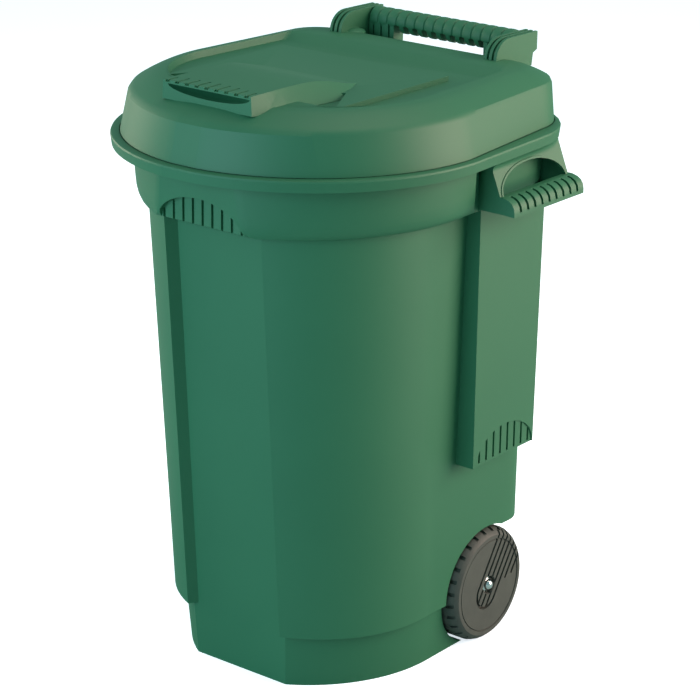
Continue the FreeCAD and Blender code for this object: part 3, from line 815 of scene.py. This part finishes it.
def make_side_handle():
    """Right side handle: sloping plate with an arched window, two cheeks and a D-section bar with slots."""
    front, back, base, outer = HANDLE_LOW.y, HANDLE_HIGH.y, HANDLE_LOW.z, HANDLE_HIGH.x
    handle = bent_plate(None, 0.0, WALL)
    nose = [(PLATE_FOOT - WALL, HANDLE_SILL), (PLATE_FOOT + 4.0, HANDLE_SILL), (outer - 10.0, base + 20.8),
            (outer - 4.5, base + 17.2), (outer - 1.2, base + 12.0), (outer, base + 6.0), (outer, base),
            (PLATE_FOOT - WALL, base + 1.5)]
    pieces = [slab(nose, front, back)]
    for y in (front + 0.1, PLATE_BACK - WALL - 0.1):
        cheek = [(196.0, HANDLE_HIGH.z)]
        for drop in (0.0, 3.0, 6.0, 9.0, 12.0, 16.0):
            cheek.append((plate_face(y, HANDLE_HIGH.z - drop) - 0.8, HANDLE_HIGH.z - drop))
        cheek += [(PLATE_FOOT - 0.8, HANDLE_SILL), (PLATE_FOOT + 8.0, base + 1.0), (196.0, base + 1.0)]
        pieces.append(slab(cheek, y, y + WALL))
    combine(handle, pieces, "UNION")
    lip = bent_plate(window_arch(2.6), 1.3, 4.0)
    combine(handle, [lip], "UNION")
    cutters = [combine(prism(window_arch(0.0), PLATE_TOP - WALL - 3.0, 300.0),
                       [block(0.0, FAR, front + WALL, PLATE_BACK - WALL, base, HANDLE_HIGH.z)], "INTERSECT")]
    for index in range(9):
        y = (front + back) / 2 + (index - 4) * RIB_PITCH
        cutters.append(block(outer - 17.0, outer + 1.0, y - 2.3, y + 2.3, base + 4.8, base + 30.0))
    return combine(handle, cutters, "DIFFERENCE")


# ---------------------------------------------------------------- wheels

WHEEL_R = 80.0
HUB_IN = 152.0
WHEEL_IN = 158.0
WHEEL_OUT = 200.0
WHEEL_FACE = WHEEL_OUT - 0.6
CLEAR = WHEEL_OUT + 3.0     # beyond the wheel's face
GROOVE = 4.0
GROOVE_PITCH = 10.5
GROOVE_FLOOR = WHEEL_OUT - 8.0
LOOP_R = 21.0               # half-round groove that joins the others below the hub
LOOP_Z = -12.0
TREAD_SLOTS = 28
TREAD_WIDTH = 5.2
FACE_TURN = -33.0           # the pattern of the face leans backwards


def face_grooves():
    """Cutters for the hub's recess, the half-round loop and the straight grooves up to the edge."""
    loop = rod(LOOP_R + GROOVE / 2, GROOVE_FLOOR, CLEAR, 0.0, LOOP_Z)
    core = rod(LOOP_R - GROOVE / 2, GROOVE_FLOOR - 1.0, CLEAR + 1.0, 0.0, LOOP_Z)
    combine(loop, [core, block(100.0, 300.0, -60.0, 60.0, LOOP_Z, 60.0)], "DIFFERENCE")
    cutters = [rod(13.0, GROOVE_FLOOR, CLEAR, 0.0, 0.0), loop]
    for index in range(-2, 5):
        across = index * GROOVE_PITCH
        if index > 2:
            start = 10.0 * index + LOOP_Z
        elif abs(index) == 2:
            start = LOOP_Z - 0.5
        else:
            start = LOOP_Z - math.sqrt(max(0.0, LOOP_R ** 2 - across ** 2))
        # floors a little apart, so that no two cutters share a plane
        floor = GROOVE_FLOOR + 0.02 * index
        cutters.append(block(floor, CLEAR, across - GROOVE / 2, across + GROOVE / 2, start, 90.0))
    return cutters


def tread_slots():
    """One cutter for all slots across the tread: deep ones at the face and shallow ones at the back."""
    slots = []
    for index in range(TREAD_SLOTS):
        turn = Matrix.Rotation(2 * math.pi * index / TREAD_SLOTS, 3, "X")
        for x0, x1, depth in ((WHEEL_OUT - 16.0, CLEAR, 4.5), (WHEEL_IN - 2.0, WHEEL_IN + 18.0, 3.0)):
            bm = bmesh.new()
            bmesh.ops.create_cube(bm, size=1.0)
            bmesh.ops.scale(bm, vec=(x1 - x0, TREAD_WIDTH, depth + 4.0), verts=bm.verts)
            bmesh.ops.translate(bm, vec=((x0 + x1) / 2, 0.0, WHEEL_R + 2.0 - depth / 2), verts=bm.verts)
            bmesh.ops.rotate(bm, matrix=turn, verts=bm.verts)
            slots.append(object_from(bm, "slot"))
    return joined(slots, "slots")


def make_wheel():
    """Right wheel: disc with a fine line round its face, grooves up to the edge and a slotted tread."""
    web = WHEEL_IN + 14.0
    profile = ((HUB_IN, 0.0), (HUB_IN, 16.0), (web, 18.0), (web, 66.0), (WHEEL_IN, 68.0),
               (WHEEL_IN, WHEEL_R - 4.0), (WHEEL_IN + 3.0, WHEEL_R), (WHEEL_OUT - 13.0, WHEEL_R),
               (WHEEL_OUT - 7.0, 77.6),
               (WHEEL_OUT - 2.0, 73.5), (WHEEL_OUT, 71.0), (WHEEL_OUT, 65.8), (WHEEL_OUT - 1.8, 65.2),
               (WHEEL_OUT - 1.8, 64.2), (WHEEL_FACE, 63.6), (WHEEL_FACE, 0.0))
    wheel = object_from(spun(profile, 112), "wheel")
    cutters = face_grooves() + [tread_slots(), rod(BORE_R, HUB_IN - 2.0, CLEAR + 1.0, 0.0, 0.0)]
    combine(wheel, cutters, "DIFFERENCE")
    bm = bmesh.new()
    bm.from_mesh(wheel.data)
    bmesh.ops.rotate(bm, matrix=Matrix.Rotation(math.radians(FACE_TURN), 3, "X"), verts=bm.verts)
    bmesh.ops.translate(bm, vec=(0.0, AXLE_Y, AXLE_Z), verts=bm.verts)
    bm.to_mesh(wheel.data)
    bm.free()
    return wheel


# ---------------------------------------------------------------- assembly

make_tub()
make_lid()

arm, boss = make_arm(), make_foot_boss()
for side, part in both_sides(arm):
    finish_piece(part, "hinge_arm_skin_" + side, "lid", ["hinge_arm_" + side], GREEN, 0.9)
for side, part in both_sides(boss):
    finish_piece(part, "arm_foot_" + side, "lid", [], GREEN, 0.5)
finish_piece(make_rear_handle(), "rear_handle_moulding", "tub", ["rear_handle"], GREEN, 0.6)
for side, part in both_sides(make_side_handle()):
    finish_piece(part, "side_handle_moulding_" + side, "tub", ["side_handle_" + side],
                 GREEN, 0.9)
for side, part in both_sides(make_wheel()):
    finish_piece(part, "wheel_moulding_" + side, "wheel_" + side, ["wheel_" + side],
                 WHEEL_GREY, 0.7, 2)

for node, material in (("axle", AXLE_STEEL),
                       ("axle_washer_right", CAP_STEEL), ("axle_washer_left", CAP_STEEL),
                       ("axle_cap_right", CAP_STEEL), ("axle_cap_left", CAP_STEEL)):
    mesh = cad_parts[node].data
    mesh.materials.clear()
    mesh.materials.append(material)


# ---------------------------------------------------------------- stage, light and camera

LIGHT_TARGET = Vector((0.0, 0.0, 0.45))


def make_floor():
    """Large pale floor under the bin."""
    bm = bmesh.new()
    bmesh.ops.create_grid(bm, x_segments=1, y_segments=1, size=12.0)
    floor = placed(bm, "floor")
    floor.data.materials.append(pale_floor())


def make_light(name, place, size, power, colour):
    """Square soft box that faces the bin."""
    lamp = bpy.data.lights.new(name, "AREA")
    lamp.size = size
    lamp.energy = power
    lamp.color = linear(colour)[:3]
    lamp.specular_factor = 0.55
    holder = bpy.data.objects.new(name, lamp)
    bpy.context.scene.collection.objects.link(holder)
    holder.location = place
    holder.rotation_euler = (LIGHT_TARGET - Vector(place)).to_track_quat("-Z", "Y").to_euler()


def make_world():
    """White to the camera; a dimmer, cool fill to everything else."""
    world = bpy.data.worlds.new("white_studio")
    world.use_nodes = True
    tree = world.node_tree
    seen = add_node(tree, "ShaderNodeLightPath").outputs["Is Camera Ray"]
    colour = ramp(tree, seen, (0.20, 0.33, 0.35, 1.0), (1.0, 1.0, 1.0, 1.0))
    tree.links.new(colour.outputs["Color"], tree.nodes["Background"].inputs["Color"])
    bpy.context.scene.world = world


CAMERA_PLACE = (1.9939, -2.4743, 1.5250)
CAMERA_TURN = (38.15, 19.41, 0.79)      # azimuth, pitch and roll in degrees
CAMERA_LENS = 130.97


def make_camera():
    """Long lens from the front right, a little above the lid."""
    azimuth, pitch, roll = (math.radians(a) for a in CAMERA_TURN)
    right = Vector((math.cos(azimuth), math.sin(azimuth), 0.0))
    flat = math.cos(pitch)
    ahead = Vector((-math.sin(azimuth) * flat, math.cos(azimuth) * flat, -math.sin(pitch)))
    up = right.cross(ahead)
    level_x = right * math.cos(roll) + up * math.sin(roll)
    level_y = up * math.cos(roll) - right * math.sin(roll)
    lens = bpy.data.cameras.new("camera")
    lens.sensor_width = 36.0
    lens.lens = CAMERA_LENS
    lens.clip_end = 50.0
    camera = bpy.data.objects.new("camera", lens)
    bpy.context.scene.collection.objects.link(camera)
    turn = Matrix((level_x, level_y, -ahead)).transposed().to_4x4()
    camera.matrix_world = Matrix.Translation(CAMERA_PLACE) @ turn
    bpy.context.scene.camera = camera


make_floor()
make_world()
make_light("key_right", (2.6, 1.8, 1.4), 2.4, 150.0, "#ffdfcf")
make_light("front", (-0.6, -3.2, 1.0), 2.4, 76.0, "#ccf2ff")
make_light("left", (-2.8, -0.3, 1.2), 1.5, 42.0, "#fff0d8")
make_light("top", (0.2, 0.5, 2.8), 1.5, 16.0, "#ffe4d2")
make_camera()
bpy.context.scene.view_settings.view_transform = "Standard"
